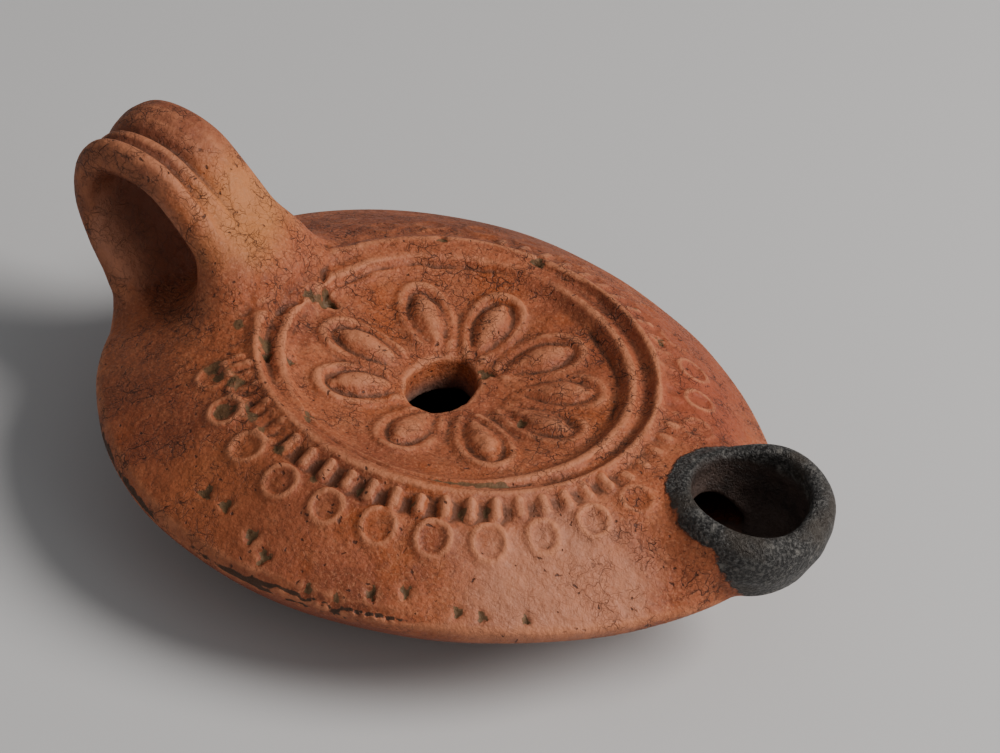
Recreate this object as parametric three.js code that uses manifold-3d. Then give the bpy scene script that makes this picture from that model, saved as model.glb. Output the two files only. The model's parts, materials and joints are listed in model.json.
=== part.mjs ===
// Roman oil lamp of mould-pressed terracotta: a round, hollow bowl that draws out to a nozzle, a sunken
// discus with a rosette round the filling hole, a shoulder with rings and tongues, and a ring handle.
// Millimetres, +Z up. The origin is the middle of the flat underside, +X points to the nozzle.
import * as THREE from 'three';
import { mergeVertices } from 'three/addons/utils/BufferGeometryUtils.js';
import Module from 'manifold-3d';

const wasm = await Module();
wasm.setup();

// Plan of the mould seam, the widest line of the body.
const bowlRadius = 39;
const backX = 37.8;
const tipX = 48.7;
const tipBluntness = { along: 1.9, across: 1.724 };

// Heights above the underside.
const seamZ = 14;
const crestZ = 23.2;
const edgeBand = 2;

// Lower half and clay thickness.
const baseRadius = 17.5;
const wall = 3.8;
const floorZ = 4;

// Discus and the two ridges round it, as radius and depth below the outer ridge.
const discusX = 5.5;
const innerGroove = { radius: 19.8, depth: 2.1 };
const innerRidge = { radius: 21.2, depth: 0.7 };
const betweenRidges = { radius: 22.7, depth: 1.4 };
const outerRidge = { radius: 24.2, depth: 0 };
const ridgeFoot = { radius: 25.5, depth: 1.1 };
const discusFloor = { radius: 9, depth: 4.2 };
const shoulderDrop = crestZ - seamZ - ridgeFoot.depth;
const shoulderBend = { side: 1.22, nozzle: 3.2, spread: 0.36 };

// Openings.
const fillingHole = { x: 4.3, halfLength: 4.3, halfWidth: 5.6 };
const nozzle = { x: 44.9, rimRadius: 9.9, holeRadius: 7.2, rimZ: 23.3, bottomZ: 11 };
const collar = { shift: 3.4, drop: 1.6, flare: 3.4, waist: 1.6, neck: 1.4, clearance: 0.3 };

// Ornament.
const petals = { count: 9, reach: 11.2, length: 9.6, width: 5.4, height: 0.85 };
const petalAngles = { first: -11.5, drift: 8, driftFrom: -50 };
const rings = { count: 11, firstAngle: 12, step: 13.2, reach: 29.2, radius: 2.1, half: 0.8, height: 0.6 };
const tongues = { count: 18, firstAngle: 18, step: 6.4, reach: 26, length: 2.5, width: 1.3, height: 0.8 };

// Ring handle, its band measured across the lamp (width) and through the clay (thickness).
const handle = { width: 15.4, thickness: 5.2, flare: 0.3, groove: 0.9 };
const handleFoot = { x: -23.2, z: 20.6, halfLength: 5.4, halfWidth: 9.6, halfHeight: 6.4 };

const clay = new THREE.MeshStandardMaterial({ color: 0xb0633f, roughness: 0.85, metalness: 0 });

function solidOf(geometry) {
  const bare = geometry.clone();
  bare.deleteAttribute('normal');
  bare.deleteAttribute('uv');
  const merged = mergeVertices(bare, 1e-4);
  const vertProperties = new Float32Array(merged.attributes.position.array);
  const triVerts = keepRealTriangles(merged.index.array);
  return new wasm.Manifold(new wasm.Mesh({ numProp: 3, vertProperties, triVerts }));
}

function keepRealTriangles(index) {
  const kept = [];
  for (let i = 0; i < index.length; i += 3) {
    const [a, b, c] = [index[i], index[i + 1], index[i + 2]];
    if (a !== b && b !== c && c !== a) kept.push(a, b, c);
  }
  return new Uint32Array(kept);
}

function geometryOf(solid) {
  const mesh = solid.getMesh();
  const geometry = new THREE.BufferGeometry();
  geometry.setAttribute('position', new THREE.BufferAttribute(mesh.vertProperties, 3));
  geometry.setIndex(new THREE.BufferAttribute(mesh.triVerts, 1));
  geometry.computeVertexNormals();
  return geometry;
}

// Moves every vertex of a geometry by a function of its place.
function bend(geometry, move) {
  const position = geometry.attributes.position;
  const point = new THREE.Vector3();
  for (let i = 0; i < position.count; i += 1) {
    point.fromBufferAttribute(position, i);
    move(point);
    position.setXYZ(i, point.x, point.y, point.z);
  }
  return geometry;
}

// Lathe about the vertical through the discus centre, from a profile of [radius, height] pairs.
function turned(profile, segments) {
  const points = profile.map(([radius, height]) => new THREE.Vector2(radius, height));
  return new THREE.LatheGeometry(points, segments).rotateX(Math.PI / 2);
}

// Signed measure of the seam plan: below 1 inside, above 1 outside.
function planMeasure(x, y) {
  const front = x > 0;
  const along = Math.abs(x) / (front ? tipX : backX);
  const across = Math.abs(y) / bowlRadius;
  const powers = front ? tipBluntness : { along: 2, across: 2 };
  return along ** powers.along + across ** powers.across;
}

// Distance from the discus centre to the seam in a given direction.
function reachAt(angle) {
  let near = ridgeFoot.radius;
  let far = bowlRadius + tipX;
  for (let i = 0; i < 40; i += 1) {
    const middle = (near + far) / 2;
    const inside = planMeasure(discusX + middle * Math.cos(angle), middle * Math.sin(angle)) < 1;
    if (inside) near = middle;
    else far = middle;
  }
  return near;
}

// Depth of the discus and ridges below the crest, by straight steps between the named circles.
function discusDepth(radius) {
  const circles = [discusFloor, innerGroove, innerRidge, betweenRidges, outerRidge, ridgeFoot];
  if (radius <= discusFloor.radius) return discusFloor.depth;
  const next = circles.findIndex((circle) => circle.radius >= radius);
  const [from, to] = [circles[next - 1], circles[next]];
  const share = (radius - from.radius) / (to.radius - from.radius);
  const eased = next === 1 ? share ** 1.6 : share;
  return from.depth + (to.depth - from.depth) * eased;
}

// Height of the upper surface over any point of the plan, without the ornament.
function topHeight(x, y) {
  const radius = Math.hypot(x - discusX, y);
  if (radius <= ridgeFoot.radius) return crestZ - discusDepth(radius);
  const angle = Math.atan2(y, x - discusX);
  const share = (radius - ridgeFoot.radius) / (reachAt(angle) - ridgeFoot.radius);
  const towardNozzle = Math.exp(-((angle / shoulderBend.spread) ** 2));
  const bendPower = shoulderBend.side + (shoulderBend.nozzle - shoulderBend.side) * towardNozzle;
  return crestZ - ridgeFoot.depth - shoulderDrop * Math.min(share, 1) ** bendPower;
}

// Widens a lathe of nominal bowl radius to the seam plan and lays its upper half on the top surface.
function fitToPlan(point, inset, roofThickness) {
  const radius = Math.hypot(point.x, point.y);
  const angle = radius > 0 ? Math.atan2(point.y, point.x) : 0;
  const reach = reachAt(angle) - inset;
  const upper = point.z >= seamZ - 0.01;
  const start = upper ? ridgeFoot.radius : baseRadius;
  const share = Math.max(0, (radius - start) / (bowlRadius - inset - start));
  const rim = new THREE.Vector2(discusX + reach * Math.cos(angle), reach * Math.sin(angle));
  const innerX = upper ? discusX : 0;
  const circle = Math.min(radius, start);
  const inner = new THREE.Vector2(innerX + circle * Math.cos(angle), circle * Math.sin(angle));
  const place = inner.lerp(rim, share);
  if (upper && point.z > seamZ + 0.01) {
    const roof = topHeight(place.x, place.y) - roofThickness(radius);
    point.z = Math.max(roof, seamZ);
  }
  point.x = place.x;
  point.y = place.y;
}

function bodyShell() {
  const shares = [0.95, 0.84, 0.68, 0.45];
  const shoulderWidth = bowlRadius - ridgeFoot.radius;
  const shoulder = shares.map((share) => [ridgeFoot.radius + shoulderWidth * share, crestZ]);
  const ridges = [ridgeFoot, outerRidge, betweenRidges, innerRidge, innerGroove];
  const profile = [
    [0, 0],
    [baseRadius, 0],
    [baseRadius + 7, 3.2],
    [baseRadius + 14.5, 7.6],
    [bowlRadius - 0.6, seamZ - edgeBand],
    [bowlRadius, seamZ],
    ...shoulder,
    ...ridges.map((circle) => [circle.radius, crestZ]),
    [17, crestZ],
    [discusFloor.radius, crestZ],
    [0, crestZ],
  ];
  const geometry = turned(profile, 56);
  return solidOf(bend(geometry, (point) => fitToPlan(point, 0, () => 0)));
}

// Reservoir: the body again, drawn in by the clay thickness, under a roof that is level below the discus.
function reservoir() {
  const innerBowl = bowlRadius - wall;
  const profile = [
    [0, floorZ],
    [baseRadius - 2, floorZ],
    [baseRadius + 9, floorZ + 4],
    [innerBowl - 1, seamZ - 1.2],
    [innerBowl, seamZ],
    [innerBowl - 3, crestZ],
    [ridgeFoot.radius + 2, crestZ],
    [ridgeFoot.radius - 4, crestZ],
    [discusFloor.radius, crestZ],
    [0, crestZ],
  ];
  const roofThickness = (radius) => (radius < innerGroove.radius ? wall : wall + 0.4);
  return solidOf(bend(turned(profile, 32), (point) => fitToPlan(point, wall, roofThickness)));
}

function nozzleCup() {
  const { rimRadius, holeRadius, rimZ, bottomZ } = nozzle;
  const crown = (rimRadius + holeRadius) / 2;
  const profile = [
    [0, bottomZ],
    [4.6, bottomZ],
    [8.2, bottomZ + 3.4],
    [rimRadius - 0.3, bottomZ + 7],
    [rimRadius, bottomZ + 9.6],
    [rimRadius - 0.5, rimZ - 0.6],
    [crown, rimZ],
    [holeRadius - 0.5, rimZ - 0.7],
    [0, rimZ - 0.7],
  ];
  return solidOf(turned(profile, 28).translate(nozzle.x, 0, 0));
}

// Shoulders of the nozzle: a low cone below the rim, kept inside the seam plan.
function nozzleCollar() {
  const top = nozzle.rimZ - collar.drop;
  const profile = [
    [0, seamZ],
    [nozzle.rimRadius + collar.flare, seamZ],
    [nozzle.rimRadius + collar.waist, seamZ + 3.4],
    [nozzle.rimRadius, top - 1.2],
    [nozzle.rimRadius - collar.neck, top],
    [0, top],
  ];
  const geometry = turned(profile, 24).translate(nozzle.x - collar.shift, 0, 0);
  return solidOf(bend(geometry, (point) => {
    const radius = Math.hypot(point.x - discusX, point.y);
    const angle = Math.atan2(point.y, point.x - discusX);
    const kept = Math.min(radius, reachAt(angle) - collar.clearance);
    point.x = discusX + kept * Math.cos(angle);
    point.y = kept * Math.sin(angle);
  }));
}

function wickHole() {
  const { holeRadius, rimZ, bottomZ } = nozzle;
  const profile = [
    [0, bottomZ + wall],
    [4.4, bottomZ + wall],
    [6.2, bottomZ + wall + 3],
    [holeRadius, rimZ - 3],
    [holeRadius, rimZ + 3],
    [0, rimZ + 3],
  ];
  return solidOf(turned(profile, 24).translate(nozzle.x, 0, 0));
}

function fillingCut() {
  const geometry = new THREE.CylinderGeometry(1, 1, crestZ, 24).rotateX(Math.PI / 2);
  geometry.scale(fillingHole.halfLength, fillingHole.halfWidth, 1);
  return solidOf(geometry.translate(fillingHole.x, 0, seamZ + crestZ / 2 - 2));
}

// Lays a small flat ornament, modelled round the origin, on the top surface: turned, moved and draped.
function draped(geometry, reach, angle, turn) {
  const centre = new THREE.Vector2(discusX + reach * Math.cos(angle), reach * Math.sin(angle));
  geometry.rotateZ(turn);
  bend(geometry, (point) => {
    point.x += centre.x;
    point.y += centre.y;
    point.z += topHeight(point.x, point.y);
  });
  return solidOf(geometry);
}

function petal(index) {
  const { degToRad } = THREE.MathUtils;
  const even = petalAngles.first + (360 / petals.count) * index;
  const angle = degToRad(even + petalAngles.drift * Math.cos(degToRad(even - petalAngles.driftFrom)));
  const leaf = new THREE.SphereGeometry(1, 8, 4).rotateY(Math.PI / 2);
  leaf.scale(petals.length * 0.32, petals.width * 0.27, petals.height);
  const loop = new THREE.TorusGeometry(1, 0.16, 3, 12);
  loop.scale(petals.length / 2, petals.width / 2, petals.height * 4);
  return [draped(leaf, petals.reach, angle, angle), draped(loop, petals.reach, angle, angle)];
}

function shoulderRing(side, index) {
  const angle = side * THREE.MathUtils.degToRad(rings.firstAngle + rings.step * index);
  const section = [
    [rings.radius - rings.half, -rings.height],
    [rings.radius + rings.half, -rings.height],
    [rings.radius, rings.height],
    [rings.radius - rings.half, -rings.height],
  ];
  return draped(turned(section, 9), rings.reach, angle, angle);
}

function tongue(side, index) {
  const angle = side * THREE.MathUtils.degToRad(tongues.firstAngle + tongues.step * index);
  const geometry = new THREE.SphereGeometry(1, 4, 3).rotateY(Math.PI / 2);
  geometry.scale(tongues.length / 2, tongues.width / 2, tongues.height);
  return draped(geometry, tongues.reach, angle, angle);
}

function ornament() {
  const solids = [];
  for (let i = 0; i < petals.count; i += 1) solids.push(...petal(i));
  for (const side of [-1, 1]) {
    for (let i = 0; i < rings.count; i += 1) solids.push(shoulderRing(side, i));
    for (let i = 0; i < tongues.count; i += 1) solids.push(tongue(side, i));
  }
  return solids;
}

// Section of the handle's band: flat inside, three ribs with two grooves between them outside.
function bandSection() {
  const half = handle.width / 2;
  const out = handle.thickness / 2;
  const low = out - handle.groove;
  const outline = [
    [-half + 1.6, -out],
    [-half, -out * 0.2],
    [-half + 0.5, out - 0.9],
    [-half + 2.2, out],
    [-half + 4.4, low],
    [-half + 5.7, out - 0.2],
    [-half + 7.2, low],
    [-half + 9.4, out],
    [half - 2.4, out],
    [half - 0.5, out - 1.2],
    [half, -out * 0.2],
    [half - 1.6, -out],
  ];
  return new THREE.Shape(outline.map(([across, up]) => new THREE.Vector2(-across, -up)));
}

// Middle line of the band: up from the back of the bowl, over, and down to the foot behind the discus.
function ringHandle() {
  const route = [
    [-35, crestZ - 8.4],
    [-38, crestZ - 4.2],
    [-41.6, crestZ - 0.6],
    [-44.1, crestZ + 3.2],
    [-44.3, crestZ + 7.2],
    [-42.4, crestZ + 10],
    [-38.8, crestZ + 10.7],
    [-34.8, crestZ + 9.9],
    [-30.9, crestZ + 7.4],
    [-26.4, crestZ + 3.8],
    [-21.8, crestZ - 0.5],
    [-19.2, crestZ - 4.5],
  ];
  const points = route.map(([x, z]) => new THREE.Vector3(x, 0, z));
  const extrudePath = new THREE.CatmullRomCurve3(points, false, 'centripetal');
  const geometry = new THREE.ExtrudeGeometry(bandSection(), { steps: 24, bevelEnabled: false, extrudePath });
  bend(geometry, (point) => {
    const below = Math.max(0, (crestZ + 8 - point.z) / 14);
    point.y *= 1 + handle.flare * Math.min(below, 1) ** 2;
  });
  return solidOf(geometry);
}

// Swelling where the band runs out on the shoulder behind the discus.
function handleSwelling() {
  const geometry = new THREE.SphereGeometry(1, 14, 8).rotateX(Math.PI / 2);
  geometry.scale(handleFoot.halfLength, handleFoot.halfWidth, handleFoot.halfHeight);
  return solidOf(geometry.translate(handleFoot.x, 0, handleFoot.z));
}

function lampGeometry() {
  const parts = [bodyShell(), nozzleCollar(), nozzleCup(), ringHandle(), handleSwelling(), ...ornament()];
  const outside = wasm.Manifold.union(parts);
  const inside = wasm.Manifold.union([reservoir(), wickHole(), fillingCut()]);
  return geometryOf(outside.subtract(inside));
}

const lamp = new THREE.Mesh(lampGeometry(), clay);
lamp.name = 'lamp';

const oilLamp = new THREE.Group();
oilLamp.add(lamp);

export default oilLamp;
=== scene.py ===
import json
import math
import bpy
import numpy as np
import openvdb as vdb
from mathutils import Matrix, Vector

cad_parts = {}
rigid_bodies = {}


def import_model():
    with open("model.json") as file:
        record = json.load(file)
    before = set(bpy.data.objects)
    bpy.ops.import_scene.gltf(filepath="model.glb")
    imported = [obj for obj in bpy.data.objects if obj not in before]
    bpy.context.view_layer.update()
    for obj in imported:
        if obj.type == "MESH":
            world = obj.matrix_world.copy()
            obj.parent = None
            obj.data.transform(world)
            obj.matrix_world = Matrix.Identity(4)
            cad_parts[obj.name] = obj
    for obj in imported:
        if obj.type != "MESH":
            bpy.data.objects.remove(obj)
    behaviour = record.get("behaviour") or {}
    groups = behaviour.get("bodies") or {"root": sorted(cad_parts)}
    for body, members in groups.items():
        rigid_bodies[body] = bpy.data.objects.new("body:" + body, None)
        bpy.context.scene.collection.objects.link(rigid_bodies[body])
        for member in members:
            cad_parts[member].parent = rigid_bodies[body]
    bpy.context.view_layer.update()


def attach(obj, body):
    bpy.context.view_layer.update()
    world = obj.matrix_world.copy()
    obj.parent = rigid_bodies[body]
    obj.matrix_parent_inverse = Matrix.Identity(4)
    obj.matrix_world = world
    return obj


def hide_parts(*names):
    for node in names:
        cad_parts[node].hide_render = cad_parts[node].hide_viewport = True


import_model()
mm = 0.001


# the clay body is worked out in millimetres and turned to metres when it becomes a mesh
lampForm = {
    "bowlRadius": 39.0, "backX": 37.8, "tipX": 48.7, "alongPower": 1.9, "acrossPower": 1.724,
    "seamZ": 14.0, "crestZ": 23.2, "discusX": 5.5, "baseRadius": 17.5, "wall": 3.8, "floorZ": 4.0,
    "sideBend": 1.22, "nozzleBend": 3.2, "bendSpread": 0.36,
    # the ridges lie between these reaches; the shoulder starts at the outer one, a step below the crest
    "ridgeReach": 18.7, "shoulderReach": 25.5, "shoulderStep": 1.1,
    # the sunken band that the short bars stand in
    "bandReach": 26.35, "bandWidth": 1.2, "bandDepth": 0.62,
    # the lower half rises in a bowl and then, from a share of the reach on, in a steep edge up to the seam
    "bowlRise": 12, "edgeRise": 2, "edgeShare": 0.972,
    # the ring that is tooled into the flat base
    "toolRadius": 15.2, "toolWidth": 0.6, "toolDepth": 0.45,
    "seamDepth": 0.9, "seamWidth": 0.02, "roofZ": 19.4, "swellSize": 16, "swellHeight": 0.16, "voxel": 0.38,
    # share of the faces that is kept inside, on the underside, on the handle and low on the far side
    "kept": (0.075, 0.17, 0.7, 0.5),
}

# radius from the discus centre and depth below the outer ridge
discusProfile = [
    (0, 4.8), (6.5, 4.7), (9.5, 4.3), (12, 3.85), (15, 3.3), (17.4, 2.7), (18.7, 2.6), (19.4, 2.45),
    (20.9, 0.8), (21.7, 1.0), (22.4, 1.65), (23.0, 1.5), (24.2, 0.0), (25.5, 1.1),
]
nearProfile = [(18.6, 2.5), (20.4, 1.9), (21.7, 0.75), (22.1, 0.95), (22.7, 0.35), (24.1, 0.05), (25.5, 1.1)]
backProfile = [(18.6, 2.6), (20.3, 1.8), (21.3, 1.0), (22.8, 0.65), (24.2, 0.4), (25.5, 1.1)]

# radius of each part of the nozzle by height; the lip is lifted on the side away from the front
nozzleForm = {
    "x": 44.9, "rimZ": 23.3, "cupBottom": 11, "wickBottom": 14.8,
    "outside": [(11, 4.6), (14.4, 8.2), (18, 9.6), (20.6, 9.9), (22.7, 9.75), (24, 9.6)],
    "inside": [(14.6, 4.2), (17.8, 6.3), (20.3, 7.0), (24, 6.9)], "lift": 1.6,
    "neck": [(14, 13.3), (17.4, 11.5), (20.5, 9.9), (21.7, 8.5)],
    "neckBack": 3.4, "neckBottom": 13.4, "neckTop": 21.7,
}

# the filling hole: middle, half size along and across the lamp, how far down it is cut, reach kept clear round it
holeForm = {"x": 4.1, "y": -0.4, "along": 3.9, "across": 5.65, "bottom": 12, "clear": 7.2}

# middle line of the handle's band in X and Z, its width and thickness
handleForm = {
    "route": [(-35, 14.8), (-38, 19), (-41.6, 22.6), (-44.1, 26.4), (-44.3, 30.4), (-42.4, 33.2),
              (-38.8, 33.9), (-34.8, 33.1), (-30.9, 30.6), (-26.4, 27), (-21.8, 22.7), (-19.2, 18.7)],
    "width": 15.4, "thickness": 5.2, "flare": 0.3, "flareTop": 31.2, "flareDrop": 14, "worn": 0.4,
    # height of the band across its width, with its ribs and where they have run out
    "ribs": [(-7.7, 2.0), (-6.4, 2.8), (-5.3, 2.75), (-4.5, 1.8), (-4.0, 1.4), (-3.5, 2.0), (-2.6, 2.35),
             (-1.8, 1.9), (-1.2, 0.8), (-0.5, 1.9), (0.8, 2.7), (3.0, 3.0), (5.6, 2.6), (7.7, 1.6)],
    "plain": [(-7.7, 2.0), (-4, 2.55), (3, 2.7), (7.7, 1.9)],
    # the swelling that the foot is smoothed into: middle and half size
    "foot": (-23.2, 0, 20.6), "footHalf": (5.4, 9.6, 6.4),
}


def smoothMin(a, b, k):
    # the lesser of two distances, blended where they differ by less than k
    h = np.maximum(k - np.abs(a - b), 0) / k
    return np.minimum(a, b) - h * h * k * 0.25


def smoothMax(a, b, k):
    return -smoothMin(-a, -b, k)


def planReach(angles, form=lampForm):
    # halves the span between a point inside the outline and one outside it until they meet
    near = np.full(angles.shape, form["shoulderReach"])
    far = np.full(angles.shape, 90.0)
    for _ in range(34):
        middle = (near + far) / 2
        x = form["discusX"] + middle * np.cos(angles)
        y = middle * np.sin(angles)
        front = x > 0
        along = np.abs(x) / np.where(front, form["tipX"], form["backX"])
        across = np.abs(y) / form["bowlRadius"]
        measure = along ** np.where(front, form["alongPower"], 2) + across ** np.where(front, form["acrossPower"], 2)
        inside = measure < 1
        near = np.where(inside, middle, near)
        far = np.where(inside, far, middle)
    return near


anglesTable = np.linspace(-math.pi, math.pi, 1441)
reachTable = planReach(anglesTable)


def softened(xs, points, spread):
    # straight steps between points, rounded over by a narrow bell
    px, py = zip(*points)
    fine = np.linspace(px[0] - 3 * spread, px[-1] + 3 * spread, 1200)
    raw = np.interp(fine, px, py)
    step = fine[1] - fine[0]
    reach = int(3 * spread / step)
    bell = np.exp(-0.5 * (np.arange(-reach, reach + 1) * step / spread) ** 2)
    padded = np.pad(raw, reach, mode="edge")
    return np.interp(xs, fine, np.convolve(padded, bell / bell.sum(), mode="valid"))


def onLamp(reach, angle):
    # a place given round the discus centre, in X and Y
    return lampForm["discusX"] + reach * math.cos(angle), reach * math.sin(angle)


# larger chips on the upper side: degrees round the discus centre, reach from it, breadth, depth
chips = [
    (70, 5, 1.0, 0.8), (175, 19.5, 1.2, 1.2), (180, 21, 0.9, 0.8), (50, 26.5, 0.9, 0.8), (-145, 23, 0.8, 0.7),
    (-145, 20, 0.7, 0.6), (-115, 21, 0.8, 0.6), (-10, 10.5, 0.8, 0.4), (125, 24, 0.8, 0.5), (95, 24, 0.9, 0.6),
]
# small chips are strewn along the near edge
edgeChips = {"count": 11, "first": -118, "last": -44, "reach": 35.6, "drift": 1.9, "breadth": 0.65, "deep": 0.65,
             "seed": 4}


def strewnChips(plan=edgeChips):
    rng = np.random.default_rng(plan["seed"])
    strewn = []
    for i in range(plan["count"]):
        along = (i + rng.uniform(0.1, 0.9)) / plan["count"]
        strewn.append((plan["first"] + (plan["last"] - plan["first"]) * along,
                       plan["reach"] + plan["drift"] * rng.uniform(-1, 1),
                       plan["breadth"] * rng.uniform(0.75, 1.4), plan["deep"] * rng.uniform(0.8, 1.2)))
    return strewn


chips += strewnChips()


def chipDepth(x, y):
    # each chip is a dent with a ragged edge and a flat floor
    depth = np.zeros(x.shape)
    for i, (degrees, reach, breadth, deep) in enumerate(chips):
        cx, cy = onLamp(reach, math.radians(degrees))
        turn = np.arctan2(y - cy, x - cx)
        ragged = 1 + 0.3 * np.sin(3 * turn + i) + 0.18 * np.sin(5 * turn + 2.3 * i) + 0.1 * np.sin(9 * turn + i)
        share = np.hypot(x - cx, y - cy) / (breadth * ragged)
        depth = np.maximum(depth, deep * np.clip(2.2 - 2.2 * share, 0, 1))
    return depth


def wander(angle, seed, amount):
    # a ragged drift along an arc
    rng = np.random.default_rng(seed)
    waves = (9, 23, 41, 67)
    return amount * sum(np.sin(k * angle + rng.uniform(0, 6.28)) / (k / 9) ** 0.7 for k in waves) / 2


def seamGape(angle, share, width):
    # the joint of the two mould halves gapes along the near left
    degrees = np.degrees(angle)
    gape = np.clip((degrees + 150) / 10, 0, 1) * np.clip((-62 - degrees) / 8, 0, 1)
    gape = gape * (0.82 + 0.18 * np.sin(9 * angle + 1) * np.sin(23 * angle))
    line = np.interp(degrees, [-110, -95, -73], [0.98, 0.976, 0.947]) + wander(angle, 4, 0.009)
    return gape * np.exp(-((share - line) / width) ** 2)


def topHeight(x, y, form=lampForm):
    radius = np.hypot(x - form["discusX"], y)
    angle = np.arctan2(y, x - form["discusX"])
    depth = softened(radius, discusProfile, 0.3)
    # the two ridges are worn into one along the near side, and rubbed flat along the back
    ridge = (radius > form["ridgeReach"]) & (radius < form["shoulderReach"])
    for points, middle, spread in ((nearProfile, -88, 44), (backProfile, 122, 40)):
        worn = np.exp(-((np.degrees(angle) - middle) / spread) ** 4)
        depth = np.where(ridge, depth + (softened(radius, points, 0.3) - depth) * worn * 0.9, depth)
    reach = np.interp(angle, anglesTable, reachTable)
    # share of the way from the ridge to the edge of the bowl
    share = np.maximum(radius - form["shoulderReach"], 0) / (reach - form["shoulderReach"])
    degrees = np.degrees(angle)
    # the row of short bars lies in a sunken band, deepest along the near side
    rowWindow = np.clip((np.abs(degrees) - 14) / 10, 0, 1) * np.clip((140 - np.abs(degrees)) / 14, 0, 1)
    rowWindow = rowWindow * np.where(degrees < 0, np.clip((-degrees - 20) / 32, 0.5, 1), 0.4)
    sunk = form["bandDepth"] * rowWindow * np.exp(-((radius - form["bandReach"]) / form["bandWidth"]) ** 2)
    sunk = sunk + chipDepth(x, y)
    sunk = sunk + form["seamDepth"] * seamGape(angle, share, form["seamWidth"])
    # it falls from the crest to the seam, evenly at the sides and held high towards the nozzle
    toward = np.exp(-((angle / form["bendSpread"]) ** 2))
    bend = form["sideBend"] + (form["nozzleBend"] - form["sideBend"]) * toward
    drop = form["crestZ"] - form["seamZ"] - form["shoulderStep"]
    fall = np.where(share < 1, np.minimum(share, 1) ** bend, 1 + (share - 1) * bend)
    depth = np.where(radius < form["shoulderReach"], depth, form["shoulderStep"])
    return form["crestZ"] - depth - drop * fall - sunk, share


def lowerHeight(x, y, form=lampForm):
    # the bowl's middle drifts from the base to the discus centre as it rises, so the share is found in rounds
    share = np.full(x.shape, 0.5)
    for _ in range(12):
        shift = form["discusX"] * np.clip(share, 0, 1.2)
        angle = np.arctan2(y, x - shift)
        reach = np.interp(angle, anglesTable, reachTable)
        share = (np.hypot(x - shift, y) - form["baseRadius"]) / (reach - form["baseRadius"])
    edge = form["edgeShare"]
    up = np.clip(share / edge, 0, 1)
    # the lower mould was fuller on the near side
    full = np.exp(-((np.degrees(angle) + 98) / 58) ** 4)
    rise = form["bowlRise"] * (up ** 1.25 * (1 - full) + (0.35 * up + 0.65 * up ** 3.2) * full)
    steep = form["edgeRise"] * np.maximum(share - edge, 0) / (1 - edge)
    tooled = form["toolDepth"] * np.exp(-((np.hypot(x, y) - form["toolRadius"]) / form["toolWidth"]) ** 2)
    return rise + steep + tooled


def sheetDistance(height, z, pitch):
    # height above a sheet, made about true by its slope
    gx, gy = np.gradient(height, pitch)
    slope = np.sqrt(1 + np.minimum(gx * gx + gy * gy, 9))
    return (z - height[:, :, None]) / slope[:, :, None]


def smoothRoute(points, count):
    # Catmull-Rom through the points
    pts = np.array(points, float)
    pts = np.vstack([2 * pts[0] - pts[1], pts, 2 * pts[-1] - pts[-2]])
    line = []
    for i in range(1, len(pts) - 2):
        for t in np.linspace(0, 1, count, endpoint=False):
            a, b, c, d = pts[i - 1:i + 3]
            line.append(0.5 * (2 * b + (c - a) * t + (2 * a - 5 * b + 4 * c - d) * t * t
                               + (3 * b - a - 3 * c + d) * t ** 3))
    line.append(pts[-2])
    return np.array(line)


def handleField(xs, ys, zs, form=handleForm):
    line = smoothRoute(form["route"], 16)
    tangent = np.gradient(line, axis=0)
    tangent /= np.linalg.norm(tangent, axis=1)[:, None]
    gx, gz = np.meshgrid(xs, zs, indexing="ij")
    flat = np.stack([gx.ravel(), gz.ravel()], 1)
    gap = ((flat[:, None, :] - line[None, :, :]) ** 2).sum(2)
    nearest = gap.argmin(1)
    offset = flat - line[nearest]
    side = tangent[nearest]
    # positive on the outside of the loop
    outward = (offset[:, 0] * -side[:, 1] + offset[:, 1] * side[:, 0]).reshape(gx.shape)
    along = (offset * side).sum(1)
    ends = np.where((nearest == 0) | (nearest == len(line) - 1), np.abs(along), 0).reshape(gx.shape)
    run = (nearest / (len(line) - 1)).reshape(gx.shape)
    below = np.clip((form["flareTop"] - gz) / form["flareDrop"], 0, 1)
    widen = 1 + form["flare"] * below ** 2
    across = ys[None, :, None] / widen[:, None, :]
    half = form["width"] / 2
    out = form["thickness"] / 2
    ribs = softened(across, form["ribs"], 0.24)
    plain = softened(across, form["plain"], 1.0)
    # the ribs run out before the foot
    fade = np.clip((0.86 - run) / 0.2, 0, 1)[:, None, :]
    top = plain + (ribs - plain) * fade - form["worn"]
    outer = outward[:, None, :] - top
    inner = -outward[:, None, :] - out - 0.35 * (1 - (across / half) ** 2)
    sides = (np.abs(across) - half) * widen[:, None, :]
    band = smoothMax(smoothMax(outer, inner, 2.2), sides, 3.4)
    return np.maximum(band, ends[:, None, :] - 0.5)


def unevenness(x, y, z, seed, size):
    # a slow, smooth swell of the hand-pressed clay, from a few turned waves
    rng = np.random.default_rng(seed)
    total = 0
    for _ in range(7):
        turn = rng.normal(size=3)
        turn *= 2 * math.pi / (size * rng.uniform(0.7, 1.6) * np.linalg.norm(turn))
        total = total + np.sin(turn[0] * x + turn[1] * y + turn[2] * z + rng.uniform(0, 6.28))
    return total / 7


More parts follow.
